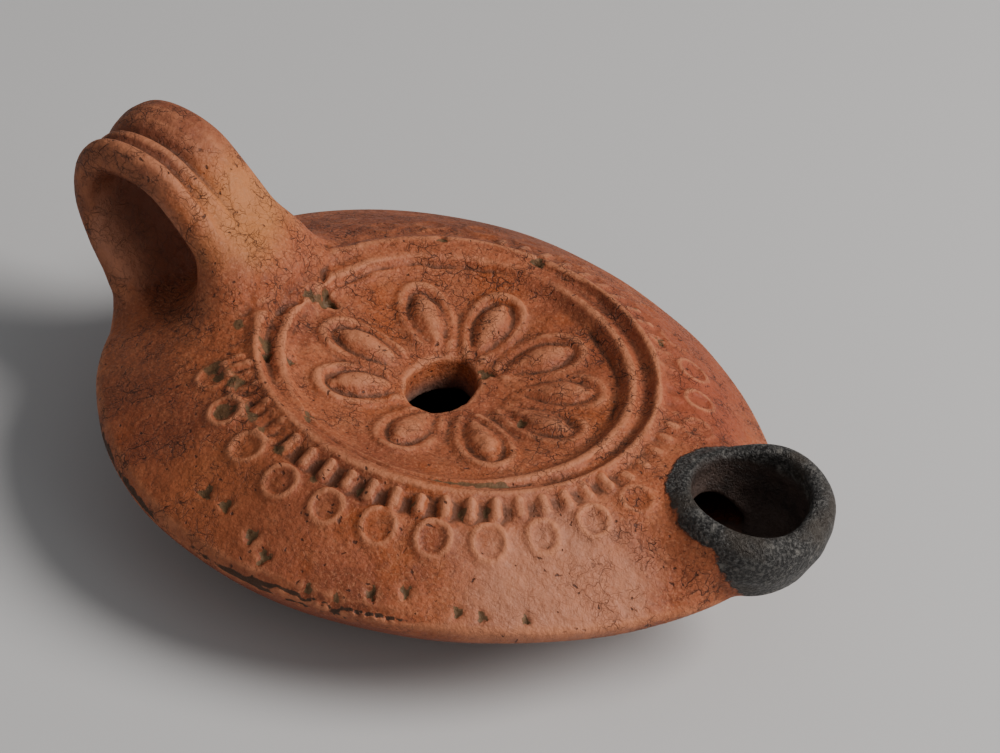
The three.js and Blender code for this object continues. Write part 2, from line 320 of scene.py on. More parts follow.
def clayField(form=lampForm, nose=nozzleForm, fill=holeForm, grip=handleForm):
    # distance to the clay's surface, below nought inside it, on a grid that reaches a little past the lamp
    pitch = form["voxel"]
    xs = np.arange(-49, 57, pitch, dtype=np.float32)
    ys = np.arange(-41, 41.1, pitch, dtype=np.float32)
    zs = np.arange(-1.5, 38.5, pitch, dtype=np.float32)
    gx, gy = np.meshgrid(xs, ys, indexing="ij")
    top, share = topHeight(gx, gy)
    low = lowerHeight(gx, gy)
    z = zs[None, None, :]
    x3 = xs[:, None, None]
    y3 = ys[None, :, None]
    swell = unevenness(x3, y3, z, 5, form["swellSize"]) * form["swellHeight"]
    body = smoothMax(sheetDistance(top, z, pitch), -sheetDistance(low, z, pitch), 0.9)

    # nozzle: a cup with a thick rounded lip, joined by a short neck
    away = np.hypot(gx - nose["x"], gy)[:, :, None]
    turn = np.arctan2(gy, gx - nose["x"])[:, :, None]
    lump = 0.22 * np.sin(2 * turn + 0.6) + 0.16 * np.sin(3 * turn - 1.2) + 0.1 * np.sin(5 * turn + 0.4)
    outside = np.interp(zs, *zip(*nose["outside"]))[None, None, :] - 0.1
    # the lip swells on the side away from the front
    swollen = np.exp(-((turn - 1.0) / 1.15) ** 4)
    rim = nose["rimZ"] - 0.2 * (1 + np.sin(2 * turn + 1.9)) + nose["lift"] * swollen
    cup = smoothMax((away - outside - lump * 0.8) * 0.94, z - rim, 2.3)
    neckAway = np.hypot(gx - nose["x"] + nose["neckBack"], gy)[:, :, None]
    neckRadius = np.interp(zs, *zip(*nose["neck"]))[None, None, :]
    within = (share[:, :, None] - 0.985) * 14
    neck = smoothMax(smoothMax((neckAway - neckRadius) * 0.86, z - nose["neckTop"], 2.5), within, 1.2)
    neck = smoothMax(neck, nose["neckBottom"] - z, 1.0)
    solid = smoothMin(body, neck, 1.8)
    solid = smoothMin(solid, smoothMax(cup, nose["cupBottom"] - z, 3.5), 0.7)

    # handle and the swelling it is smoothed into
    back = xs < -12
    band = handleField(xs[back], ys, zs)
    footX, footY, footZ = grip["foot"]
    halfX, halfY, halfZ = grip["footHalf"]
    foot = np.sqrt(((x3[back] - footX) / halfX) ** 2 + ((y3 - footY) / halfY) ** 2 + ((z - footZ) / halfZ) ** 2)
    foot = (foot - 1) * 5.6
    band = smoothMin(band, foot, 3.0)
    solid[back] = smoothMin(solid[back], band, 3.4)
    solid += swell * np.clip((z - 1) / 4, 0, 1) + 0.03

    # hollow inside, filling hole and wick hole
    wall = form["wall"]
    roof = np.minimum(top, form["crestZ"] - np.where(np.hypot(gx - form["discusX"], gy) < 19.8, 2.2, 0)) - wall
    # the roof is thicker round the filling hole
    roof = np.minimum(roof, form["roofZ"]) - 1.9 * np.exp(-(np.hypot(gx - 4.3, gy) / 8.5) ** 4)
    hollow = smoothMax(sheetDistance(roof, z, pitch), -sheetDistance(low + wall + 0.3, z, pitch), 1.6)
    hollow = smoothMax(hollow, form["floorZ"] - z, 1.2)
    holeX, holeY = x3 - fill["x"], y3 - fill["y"]
    holeTurn = np.arctan2(holeY, holeX)
    inHole = np.sqrt((holeX / fill["along"]) ** 2 + (holeY / fill["across"]) ** 2)
    ragged = 0.1 * np.sin(3 * holeTurn + 0.7) + 0.05 * np.sin(7 * holeTurn) + 0.05 * np.sin(13 * holeTurn + 2)
    hole = smoothMax((inHole - 1) * 4.9 + ragged, fill["bottom"] - z, 0.5)
    wick = np.interp(zs, *zip(*nose["inside"]))[None, None, :]
    well = smoothMax((away - wick - lump * 0.6 + 0.35 * swollen) * 0.93, nose["wickBottom"] - z, 1.5)
    solid = smoothMax(solid, -smoothMin(hollow, well, 1.2), 1.0)
    solid = np.maximum(smoothMax(solid, -hole, 0.9), 0.02 - z)
    return solid.astype(np.float32), (xs[0], ys[0], zs[0]), pitch


def meshFromField(field, corner, pitch, name):
    grid = vdb.FloatGrid()
    grid.background = 3.0
    grid.copyFromArray(np.clip(field, -3, 3))
    grid.transform = vdb.createLinearTransform(voxelSize=pitch)
    points, quads = grid.convertToQuads(isovalue=0.0)
    points = (points + np.array(corner)) * mm
    mesh = bpy.data.meshes.new(name)
    mesh.vertices.add(len(points))
    mesh.vertices.foreach_set("co", points.astype(np.float32).ravel())
    mesh.loops.add(quads.size)
    mesh.loops.foreach_set("vertex_index", quads.astype(np.int32).ravel())
    mesh.polygons.add(len(quads))
    mesh.polygons.foreach_set("loop_start", np.arange(0, quads.size, 4, dtype=np.int32))
    mesh.update(calc_edges=True)
    mesh.validate()
    piece = bpy.data.objects.new(name, mesh)
    bpy.context.scene.collection.objects.link(piece)
    return piece


def underTop(x, y, z):
    # how deep a point lies under the upper face, nought where it is part of the lower wall or past the passage
    top, share = topHeight(x, y)
    passage = (x < 38) | ((x < 42.5) & (np.abs(y) < 5))
    return (top - z) * ((z - lowerHeight(x, y) > 1.5) & passage & (share < 1))


def thinSmooth(piece, form=lampForm):
    # the ornamented side keeps all its faces; four groups of plainer ones are thinned, one after the other
    count = len(piece.data.vertices)
    co = np.empty(count * 3, np.float32)
    piece.data.vertices.foreach_get("co", co)
    x, y, z = co.reshape(-1, 3).T / mm
    inner = (underTop(x, y, z) > 1.7) & ((np.hypot(x - 4.4, y) > 8) | (z < 11))
    under = ~inner & (z < 11)
    handle = ~inner & (x < -28) & (z > 17)
    farLow = ~inner & ~under & ~handle & (y > 8) & (z < 16)
    # a closed mesh has about twice as many triangles as points
    left = 2 * count
    for n, (chosen, keep) in enumerate(zip((inner, under, handle, farLow), form["kept"])):
        name = "thin_%d" % n
        piece.vertex_groups.new(name=name).add(np.nonzero(chosen)[0].tolist(), 1.0, "REPLACE")
        thin = piece.modifiers.new(name, "DECIMATE")
        thin.vertex_group = name
        lost = 2 * int(chosen.sum()) * (1 - keep)
        thin.ratio = (left - lost) / left
        left -= lost


def triangleCount(piece):
    return len(piece.data.loops) - 2 * len(piece.data.polygons)


def madePlain(piece):
    # the evaluated shape as a plain mesh, with no modifier left
    graph = bpy.context.evaluated_depsgraph_get()
    mesh = bpy.data.meshes.new_from_object(piece.evaluated_get(graph), depsgraph=graph)
    piece.modifiers.clear()
    piece.vertex_groups.clear()
    piece.data = mesh


field, corner, pitch = clayField()
lampPiece = meshFromField(field, corner, pitch, "moulded_lamp")
print("clay body:", len(lampPiece.data.polygons), "faces")
thinSmooth(lampPiece)
madePlain(lampPiece)
print("thinned:", triangleCount(lampPiece), "triangles")


def linear(hexColour):
    # sRGB hex to the linear colour that the shader takes
    values = [int(hexColour[i:i + 2], 16) / 255 for i in (1, 3, 5)]
    return [v / 12.92 if v <= 0.04045 else ((v + 0.055) / 1.055) ** 2.4 for v in values] + [1.0]


def addNode(tree, kind, settings=None, inputs=None, out=0):
    # settings are the node's own choices, an input takes a value or another node's output
    node = tree.nodes.new(kind)
    for key, value in (settings or {}).items():
        setattr(node, key, value)
    for key, value in (inputs or {}).items():
        if isinstance(value, bpy.types.NodeSocket):
            tree.links.new(value, node.inputs[key])
        else:
            node.inputs[key].default_value = value
    return node.outputs[out]


# node kinds and settings that come up all over
mathNode, vectorNode, rangeNode = "ShaderNodeMath", "ShaderNodeVectorMath", "ShaderNodeMapRange"
mixNode, noiseNode = "ShaderNodeMix", "ShaderNodeTexNoise"
plus, minus, times, timesPlus, larger, over, apart = (
    {"operation": name}
    for name in ("ADD", "SUBTRACT", "MULTIPLY", "MULTIPLY_ADD", "MAXIMUM", "GREATER_THAN", "DISTANCE"))
fading, mixing = {"interpolation_type": "SMOOTHSTEP"}, {"data_type": "RGBA"}

# colours, and sizes in millimetres
finish = {
    "clay": "#9f5736",
    # feature size, detail, noise level where it starts and where it is full, strength, colour
    "layers": [(17, 2, 0.40, 0.62, 0.9, "#82432a"), (11, 3, 0.52, 0.68, 0.75, "#9c4d22"),
               (6.5, 3, 0.50, 0.66, 0.55, "#aa5e3e"), (2.6, 4, 0.46, 0.74, 0.5, "#b36c48"),
               (1.1, 3, 0.52, 0.72, 0.45, "#74402b"), (0.42, 3, 0.50, 0.66, 0.55, "#6a3622"),
               (0.34, 2, 0.52, 0.70, 0.42, "#c07e5a")],
    # the rubbed colour is rubbed wear and a painted highlight on the raised relief
    "rubbed": "#be7a56", "crack": "#35201a",
    # middle, reach, strength, colour: a painted highlight with some dust on the near front shoulder, a painted
    # highlight on the handle's lit slope, painted shade on the handle and on the left and near lower body, darker
    # redder paint against the grazing sheen on the far right, darker on the far side
    "toneAndPaintedLight": [
        # painted highlight with some dust on the near front shoulder; painted highlight on the slope of the handle
        # that faces the light; painted shade on the handle's outer side, away from the light
        ((31, -23, 18), 15, 0.6, "#bd8164"), ((-27, 1, 30), 10, 0.7, "#c27f4c"), ((-43, -3, 30), 15, 0.6, "#6b4632"),
        # painted shade on the lower left of the body, away from the light; darker on the far side; a darker patch by
        # the discus
        ((-34, -18, 12), 17, 0.5, "#71452f"), ((-6, 36, 16), 16, 0.5, "#70402c"), ((12, 14, 19), 9, 0.35, "#7c4229"),
        # darker and redder on the far right shoulder, against the grazing sheen there; a more orange patch on the
        # near side
        ((27, 24, 18), 17, 0.65, "#8c432a"), ((-8, -33, 16), 10, 0.35, "#a0582a"),
        # painted shade on the top of the handle and on its near outer side
        ((-42, 3, 36), 14, 0.75, "#7a422d"), ((-45, -6, 31), 13, 0.7, "#74402b"),
        # painted shade on the near left of the lower body, away from the light; darker, redder paint against the
        # grazing sheen on the far right shoulder
        ((-20, -30, 12), 14, 0.5, "#7c4028"), ((-3, -36, 13), 15, 0.5, "#7c3f26"), ((33, 14, 20), 12, 0.6, "#94442a"),
    ],
    # crazing: cell, half width of the line as a share of the cell, how much of it is missing, strength
    "crazing": [(2.3, 0.034, 0.50, 0.8), (1.35, 0.034, 0.44, 0.45), (0.8, 0.05, 0.52, 0.35)],
    # the near front is less crazed: middle, where that ends and starts, share that is left
    "calm": ((18, -33, 16), 16, 30, 0.25),
    # paler inside the loop of the handle, a painted bounce light with a greyish dust tone: middle, where it ends and
    # is full, strength, colour
    "loop": ((-35.8, 0, 25.2), 9.6, 7.6, 0.55, "#b37a60"),
    # the lower colour is painted shade on the lower half
    "stain": "#472d1f", "soil": "#6e5c3c", "seam": "#33251a", "oil": "#64524a", "lower": "#6a3527",
    "soot": "#232221", "sootPale": "#5c5a57", "sootBrown": "#3c352e", "sootGrit": "#6e6b66", "well": "#54423a",
    # relief: feature size, detail, height
    "relief": [(0.26, 3, 0.075), (0.75, 3, 0.2), (2.2, 2, 0.36)],
    # pores, reach of the soot on the lip, of the tar in the well and of the black inside the lip, floor of the well
    "pore": 0.9, "rimReach": 9.9, "wellReach": 7.9, "lipReach": 7.6, "wellZ": 14.4,
}


def firedClay(look=finish, nose=nozzleForm):
    # iron-rich clay, pressed in a mould and fired without glaze: matt and grainy, finely crazed, pale where it is
    # rubbed and where a painted highlight lies on the raised relief, dark in the hollows; painted highlight and
    # painted shade lie in broad zones and on the lower half; the cup of the nozzle is burnt to a rough black crust
    material = bpy.data.materials.new("terracotta_mould_pressed")
    material.use_nodes = True
    tree = material.node_tree
    shader = tree.nodes["Principled BSDF"]
    place = addNode(tree, "ShaderNodeTexCoord", out="Object")
    hollow, soil, seam, oiled = (addNode(tree, "ShaderNodeAttribute", {"attribute_name": name}, out="Fac")
                                 for name in ("hollow", "soil", "seam", "oiled"))
    alongZ = addNode(tree, "ShaderNodeSeparateXYZ", {}, {0: place}, 2)

    # the noises that several things share, 7, 1.2 and 0.4 mm across
    patches, crumbs, fine = (
        addNode(tree, noiseNode, {}, {"Vector": place, "Scale": 1 / (size * mm), "Detail": 3.0, "Roughness": harsh})
        for size, harsh in ((7, 0.5), (1.2, 0.5), (0.4, 0.65)))

    # body colour: the slow drift of the firing, then mottle, then grain
    coats = []
    for n, (size, detail, start, full, strength, tint) in enumerate(look["layers"]):
        aside = addNode(tree, vectorNode, plus, {0: place, 1: (0.31 * n, 0.17 * n, 0.23 * n)})
        noise = addNode(tree, noiseNode, {}, {"Vector": aside, "Scale": 1 / (size * mm), "Detail": detail})
        coats.append((noise, start, full, strength, linear(tint)))

    # broad zones of tone, painted highlight and painted shade, each round a middle and broken by the patches
    for middle, reach, strength, tint in look["toneAndPaintedLight"]:
        away = addNode(tree, vectorNode, apart, {0: place, 1: [v * mm for v in middle]}, "Value")
        away = addNode(tree, mathNode, timesPlus, {0: patches, 1: reach * mm, 2: away})
        coats.append((away, 1.6 * reach * mm, 0.8 * reach * mm, strength, linear(tint)))

    # pale where it stands proud: rubbed wear, and a painted highlight on the raised relief
    proudWearAndHighlight = addNode(tree, mathNode, timesPlus, {0: crumbs, 1: 0.16, 2: -0.08})
    proudWearAndHighlight = addNode(tree, mathNode, minus, {0: proudWearAndHighlight, 1: hollow})
    coats.append((proudWearAndHighlight, 0.03, 0.2, 0.68, linear(look["rubbed"])))

    # each coat lies over the last: its value, where it starts and where it is full, strength, colour
    colour = linear(look["clay"])
    for value, start, full, strength, tint in coats:
        share = addNode(tree, rangeNode, fading,
                        {"Value": value, "From Min": start, "From Max": full, "To Max": strength})
        colour = addNode(tree, mixNode, mixing, {0: share, 6: colour, 7: tint}, 2)

    # crazing: broken hair lines, on coordinates pushed about so that no cell is straight
    push = addNode(tree, noiseNode, {}, {"Vector": place, "Scale": 1 / (1.5 * mm), "Detail": 2.0}, "Color")
    push = addNode(tree, vectorNode, minus, {0: push, 1: (0.5, 0.5, 0.5)})
    push = addNode(tree, vectorNode, {"operation": "SCALE"}, {0: push, "Scale": 2.0 * mm})
    pushed = addNode(tree, vectorNode, plus, {0: place, 1: push})
    aside = addNode(tree, vectorNode, plus, {0: place, 1: (0.0, 0.4, 0.0)})
    broken = addNode(tree, noiseNode, {}, {"Vector": aside, "Scale": 1 / (4.5 * mm), "Detail": 4.0, "Roughness": 0.6})
    cracks = 0.0
    for cell, width, missing, strength in look["crazing"]:
        edge = addNode(tree, "ShaderNodeTexVoronoi", {"feature": "DISTANCE_TO_EDGE"},
                       {"Vector": pushed, "Scale": 1 / (cell * mm)})
        line = addNode(tree, rangeNode, fading,
                       {"Value": edge, "From Min": width, "From Max": width * 0.2, "To Max": strength})
        there = addNode(tree, rangeNode, fading,
                        {"Value": broken, "From Min": missing - 0.03, "From Max": missing + 0.08})
        line = addNode(tree, mathNode, times, {0: line, 1: there})
        cracks = addNode(tree, mathNode, larger, {0: cracks, 1: line})
    middle, ends, starts, least = look["calm"]
    calm = addNode(tree, vectorNode, apart, {0: place, 1: [v * mm for v in middle]}, "Value")
    calm = addNode(tree, rangeNode, fading,
                   {"Value": calm, "From Min": ends * mm, "From Max": starts * mm, "To Min": least, "To Max": 1.0})
    cracks = addNode(tree, mathNode, times, {0: cracks, 1: calm})
    colour = addNode(tree, mixNode, mixing, {0: cracks, 6: colour, 7: linear(look["crack"])}, 2)

    # open pores
    pore = addNode(tree, "ShaderNodeTexVoronoi", {}, {"Vector": pushed, "Scale": 1 / (look["pore"] * mm)})
    chosen = addNode(tree, "ShaderNodeSeparateColor", {}, {0: pore.node.outputs["Color"]})
    chosen = addNode(tree, rangeNode, {}, {"Value": chosen, "From Min": 0.84, "From Max": 0.9})
    pore = addNode(tree, rangeNode, fading, {"Value": pore, "From Min": 0.3, "From Max": 0.12, "To Max": 0.8})
    pore = addNode(tree, mathNode, times, {0: pore, 1: chosen})
    colour = addNode(tree, mixNode, mixing, {0: pore, 6: colour, 7: linear(look["crack"])}, 2)

    # dark stain in the hollows
    deep = addNode(tree, mathNode, timesPlus, {0: crumbs, 1: 0.16, 2: hollow})
    # soil packed in where it was marked or where it is deep
    packed = addNode(tree, mathNode, timesPlus, {0: hollow, 1: 0.9, 2: soil})
    packed = addNode(tree, mathNode, timesPlus, {0: crumbs, 1: 1.5, 2: packed})
    earth = addNode(tree, mixNode, mixing, {0: fine, 6: linear(look["stain"]), 7: linear(look["soil"])}, 2)
    # painted shade: the lower half, below the seam, is darker
    low = addNode(tree, mathNode, timesPlus, {0: crumbs, 1: 2.4 * mm, 2: alongZ})
    # the open seam is dark and crumbly
    gape = addNode(tree, mathNode, timesPlus, {0: crumbs, 1: 0.9, 2: seam})
    # paler inside the loop of the handle: painted bounce light, with a greyish dust tone
    middle, ends, starts, most, loopLightAndDust = look["loop"]
    inLoop = addNode(tree, vectorNode, times, {0: place, 1: (1, 0.55, 1)})
    inLoop = addNode(tree, vectorNode, apart, {0: inLoop, 1: [v * mm for v in middle]}, "Value")
    inLoop = addNode(tree, mathNode, timesPlus, {0: crumbs, 1: 1.5 * mm, 2: inLoop})
    coats = [(deep, 0.13, 0.34, 0.72, linear(look["stain"])), (packed, 1.32, 1.6, 0.85, earth),
             (low, 14.4 * mm, 12.2 * mm, 0.6, linear(look["lower"])),
             (gape, 0.84, 1.02, 0.92, linear(look["seam"])), (inLoop, ends * mm, starts * mm, most, linear(loopLightAndDust))]
    for value, start, full, strength, tint in coats:
        share = addNode(tree, rangeNode, fading,
                        {"Value": value, "From Min": start, "From Max": full, "To Max": strength})
        colour = addNode(tree, mixNode, mixing, {0: share, 6: colour, 7: tint}, 2)

    # soot: the lip of the nozzle all round, and below it only the side towards the tip
    flat = addNode(tree, vectorNode, times, {0: place, 1: (1, 1, 0)})
    fromAxis = addNode(tree, vectorNode, apart, {0: flat, 1: (nose["x"] * mm, 0, 0)}, "Value")
    ragged = addNode(tree, mathNode, timesPlus, {0: crumbs, 1: 1.6 * mm, 2: fromAxis})
    onLip = addNode(tree, rangeNode, fading,
                    {"Value": ragged, "From Min": (look["rimReach"] + 1.0) * mm,
                     "From Max": (look["rimReach"] + 0.6) * mm})
    high = addNode(tree, mathNode, timesPlus, {0: crumbs, 1: 1.6 * mm, 2: alongZ})
    high = addNode(tree, rangeNode, fading, {"Value": high, "From Min": 21.7 * mm, "From Max": 22.1 * mm})
    onLip = addNode(tree, mathNode, times, {0: onLip, 1: high})
    # the inside of the lip is black as well
    insideLip = addNode(tree, rangeNode, fading,
                        {"Value": fromAxis, "From Min": look["wellReach"] * mm, "From Max": look["lipReach"] * mm})
    aboveFloor = addNode(tree, mathNode, over, {0: alongZ, 1: look["wellZ"] * mm})
    insideLip = addNode(tree, mathNode, times, {0: insideLip, 1: aboveFloor})
    onLip = addNode(tree, mathNode, larger, {0: onLip, 1: insideLip})
    towardTip = addNode(tree, vectorNode, {"operation": "DOT_PRODUCT"}, {0: place, 1: (1, -0.06, 0.5)}, "Value")
    towardTip = addNode(tree, mathNode, timesPlus, {0: crumbs, 1: 2.6 * mm, 2: towardTip})
    burnt = addNode(tree, rangeNode, fading, {"Value": towardTip, "From Min": 57.3 * mm, "From Max": 57.8 * mm})
    burnt = addNode(tree, mathNode, larger, {0: burnt, 1: onLip})
    soot = linear(look["soot"])
    for value, start, full, strength, tint in ((fine, 0.42, 0.7, 1.0, look["sootPale"]),
                                               (crumbs, 0.56, 0.7, 0.75, look["sootGrit"]),
                                               (patches, 0.48, 0.62, 0.8, look["sootBrown"])):
        share = addNode(tree, rangeNode, fading,
                        {"Value": value, "From Min": start, "From Max": full, "To Max": strength})
        soot = addNode(tree, mixNode, mixing, {0: share, 6: soot, 7: linear(tint)}, 2)
    colour = addNode(tree, mixNode, mixing, {0: burnt, 6: colour, 7: soot}, 2)

    # the well below the lip is tarry brown
    below = addNode(tree, mathNode, timesPlus, {0: crumbs, 1: 2.0 * mm, 2: alongZ})
    below = addNode(tree, rangeNode, fading, {"Value": below, "From Min": 24.2 * mm, "From Max": 22.6 * mm})
    inWell = addNode(tree, mathNode, times, {0: insideLip, 1: below})
    tar = addNode(tree, mixNode, mixing, {0: crumbs, 6: linear(look["soot"]), 7: linear(look["well"])}, 2)
    colour = addNode(tree, mixNode, mixing, {0: inWell, 6: colour, 7: tar}, 2)
    # the chamber is soaked with old oil
    oiled = addNode(tree, mathNode, times, {0: oiled, 1: 0.86})
    colour = addNode(tree, mixNode, mixing, {0: oiled, 6: colour, 7: linear(look["oil"])}, 2)
    tree.links.new(colour, shader.inputs["Base Color"])

    rough = addNode(tree, rangeNode, {},
                    {"Value": crumbs, "From Min": 0.3, "From Max": 0.7, "To Min": 0.54, "To Max": 0.74})
    rough = addNode(tree, mathNode, timesPlus, {0: burnt, 1: -0.14, 2: rough})
    tree.links.new(rough, shader.inputs["Roughness"])
    shader.inputs["Specular IOR Level"].default_value = 0.28
    shader.inputs["IOR"].default_value = 1.5

    # relief in millimetres: grain, hand-pressed unevenness, cracks and pores, and the crust of soot
    relief = 0.0
    for n, (size, detail, height) in enumerate(look["relief"]):
        aside = addNode(tree, vectorNode, plus, {0: place, 1: (0.0, 0.0, 0.5 + 0.3 * n)})
        noise = addNode(tree, noiseNode, {}, {"Vector": aside, "Scale": 1 / (size * mm), "Detail": detail})
        relief = addNode(tree, mathNode, timesPlus, {0: noise, 1: height, 2: relief})
    relief = addNode(tree, mathNode, timesPlus, {0: cracks, 1: -0.13, 2: relief})
    relief = addNode(tree, mathNode, timesPlus, {0: pore, 1: -0.14, 2: relief})
    crust = addNode(tree, mathNode, times, {0: fine, 1: burnt})
    relief = addNode(tree, mathNode, timesPlus, {0: crust, 1: 0.34, 2: relief})
    bump = addNode(tree, "ShaderNodeBump", {}, {"Height": relief, "Strength": 1.0, "Distance": mm})
    tree.links.new(bump, shader.inputs["Normal"])
    return material


clay = firedClay()
print("finish:", len(clay.node_tree.nodes), "nodes")


# the moulded ornament is laid out by rule and pressed on by one Geometry Nodes tree; reaches and angles are round
# the discus centre, and a first angle and a step count the same way on both sides
ornament = {
    # no two petals are alike: angle, reach and how much of it is left
    "petals": [(-2, 11.9, 0.75), (27, 12.3, 0.7), (58, 11.6, 0.85), (97.5, 11.4, 1.1), (137, 11.4, 1.0),
               (-172.5, 11.4, 1.1), (-136, 11.3, 1.1), (-88, 10.7, 0.9), (-43.5, 11.3, 1.0)],
    "petalLength": 11.4, "petalWidth": 7.7, "petalRise": 0.6, "petalBead": 1.0,
    "leafLength": 7.4, "leafRise": 1.55, "leafBead": 2.35, "leafInset": -0.1,
    "rings": 11, "ringFirst": 15.4, "ringStep": 12.35, "ringReach": 29.6, "ringRadius": 1.85, "ringRise": 0.55,
    "ringBead": 0.66, "ringFloor": 0.08,
    "bars": 15, "barFirst": 18.5, "barStep": 6.35, "barReach": 26.1, "barLength": 0.9, "barRise": 1.25,
    "barBead": 0.92, "frontBars": (-12, -5.5, 1, 7.5, 13),  # the worn ones towards the nozzle
    "curls": 4, "curlFirst": 115, "curlStep": 8.2, "curlReach": 26.5, "curlRise": 0.65, "curlBead": 0.75,
    "eggRise": 0.8, "eggBead": 0.85,
    # cracks that follow the grooves: radius, from and to angle, half width, depth
    "cracks": [(22.0, -112, -38, 0.45, 0.45), (21.9, -38, 4, 0.4, 0.3), (23.5, 122, 66, 0.5, 0.45),
               (20.4, 178, 98, 0.5, 0.5), (22.9, -176, -132, 0.5, 0.4), (20.2, -172, -140, 0.5, 0.45),
               (19.4, 62, 10, 0.4, 0.35), (25.0, -92, -60, 0.4, 0.3)],
    # the crack round the handle's foot is part of an oval: middle, half size along and across, angles, width, depth
    "footCrack": (-23, 7.4, 10.6, -64, 56, 0.6, 0.6),
}


def pressedOrnament():
    # a stamp of thin lines is laid on every seat, and the clay rises as a rounded bead along those lines
    tree = bpy.data.node_groups.new("pressed_ornament", "GeometryNodeTree")
    sockets = {}
    for name, kind in [("Geometry", "Geometry"), ("Seats", "Object"), ("Stamp", "Object"), ("Bead", "Float"),
                       ("Rise", "Float"), ("Roundness", "Float"), ("Wear", "Float"), ("Seed", "Float"),
                       ("Lowest", "Float"), ("Hole", "Vector"), ("Clear", "Float"), ("Clay", "Material")]:
        sockets[name] = tree.interface.new_socket(name=name, in_out="INPUT", socket_type="NodeSocket" + kind)
    tree.interface.new_socket(name="Geometry", in_out="OUTPUT", socket_type="NodeSocketGeometry")
    given = tree.nodes.new("NodeGroupInput").outputs

    seats = addNode(tree, "GeometryNodeObjectInfo", {}, {"Object": given["Seats"]}, "Geometry")
    stamp = addNode(tree, "GeometryNodeObjectInfo", {}, {"Object": given["Stamp"]}, "Geometry")
    turn, stretch = (addNode(tree, "GeometryNodeInputNamedAttribute", {"data_type": "FLOAT_VECTOR"},
                             {"Name": name}, "Attribute") for name in ("turn", "stretch"))
    turned = addNode(tree, "FunctionNodeEulerToRotation", {}, {0: turn})
    laid = addNode(tree, "GeometryNodeInstanceOnPoints", {},
                   {"Points": seats, "Instance": stamp, "Rotation": turned, "Scale": stretch})
    lines = addNode(tree, "GeometryNodeRealizeInstances", {}, {0: laid})

    # distance in plan from the nearest line
    place = addNode(tree, "GeometryNodeInputPosition")
    onPlan = addNode(tree, vectorNode, times, {0: place, 1: (1, 1, 0)})
    near = addNode(tree, "GeometryNodeProximity", {"target_element": "EDGES"},
                   {0: lines, "Source Position": onPlan}, "Distance")
    nearest = addNode(tree, "GeometryNodeSampleNearest", {"domain": "POINT"},
                      {"Geometry": lines, "Sample Position": onPlan})

    # the strength of the seat it belongs to, and its breadth, as a stamp may be narrower and lower at its ends
    values = (addNode(tree, "GeometryNodeInputNamedAttribute", {"data_type": "FLOAT"}, {"Name": name}, "Attribute")
              for name in ("strength", "breadth"))
    strength, breadth = (
        addNode(tree, "GeometryNodeSampleIndex", {"data_type": "FLOAT", "domain": "POINT"},
                {"Geometry": lines, "Value": value, "Index": nearest}) for value in values)

    # the bead's section is a dome, flatter on top when the roundness is low
    share = addNode(tree, mathNode, {"operation": "DIVIDE"}, {0: near, 1: given["Bead"]})
    share = addNode(tree, mathNode, {"operation": "DIVIDE", "use_clamp": True}, {0: share, 1: breadth})
    square = addNode(tree, mathNode, times, {0: share, 1: share})
    dome = addNode(tree, mathNode, minus, {0: 1.0, 1: square})
    dome = addNode(tree, mathNode, {"operation": "POWER"}, {0: dome, 1: given["Roundness"]})

    # handling has rubbed some of it away
    rubbed = addNode(tree, noiseNode, {"noise_dimensions": "4D"},
                     {"Vector": place, "W": given["Seed"], "Scale": 260.0, "Detail": 3.0})
    rubbed = addNode(tree, rangeNode, {}, {"Value": rubbed, "From Min": 0.38, "From Max": 0.62})
    rubbed = addNode(tree, mathNode, times, {0: rubbed, 1: given["Wear"]})
    left = addNode(tree, mathNode, minus, {0: 1.0, 1: rubbed})

    # the edge of the filling hole stays clean
    fromHole = addNode(tree, vectorNode, apart, {0: onPlan, 1: given["Hole"]}, "Value")
    inner = addNode(tree, mathNode, times, {0: given["Clear"], 1: 0.72})
    clear = addNode(tree, rangeNode, fading, {"Value": fromHole, "From Min": inner, "From Max": given["Clear"]})

    # only clay that faces up and lies above the seam moves
    normal = addNode(tree, "GeometryNodeInputNormal")
    facing = addNode(tree, "ShaderNodeSeparateXYZ", {}, {0: normal}, 2)
    facing = addNode(tree, mathNode, over, {0: facing, 1: 0.15})
    level = addNode(tree, "ShaderNodeSeparateXYZ", {}, {0: place}, 2)
    level = addNode(tree, mathNode, over, {0: level, 1: given["Lowest"]})
    height = dome
    for factor in (given["Rise"], strength, breadth, left, clear, facing, level):
        height = addNode(tree, mathNode, times, {0: height, 1: factor})
    lift = addNode(tree, "ShaderNodeCombineXYZ", {}, {2: height})
    moved = addNode(tree, "GeometryNodeSetPosition", {}, {"Geometry": given["Geometry"], "Offset": lift})
    whole = addNode(tree, "GeometryNodeRealizeInstances", {}, {0: moved})
    done = addNode(tree, "GeometryNodeSetMaterial", {}, {"Geometry": whole, "Material": given["Clay"]})
    tree.links.new(done, tree.nodes.new("NodeGroupOutput").inputs[0])
    return tree, sockets


helpers = []  # seats and stamps, taken away once the ornament is pressed


def looseLines(name, points, edges, **attributes):
    # points and lines with no faces, which the tree reads as seats or as a stamp
    mesh = bpy.data.meshes.new(name)
    mesh.from_pydata([(x * mm, y * mm, 0) for x, y in points], edges, [])
    for key, values in attributes.items():
        kind = "FLOAT_VECTOR" if key in ("turn", "stretch") else "FLOAT"
        layer = mesh.attributes.new(key, kind, "POINT")
        layer.data.foreach_set("value" if kind == "FLOAT" else "vector", np.array(values, np.float32).ravel())
    line = bpy.data.objects.new(name, mesh)
    bpy.context.scene.collection.objects.link(line)
    helpers.append(line)
    return line


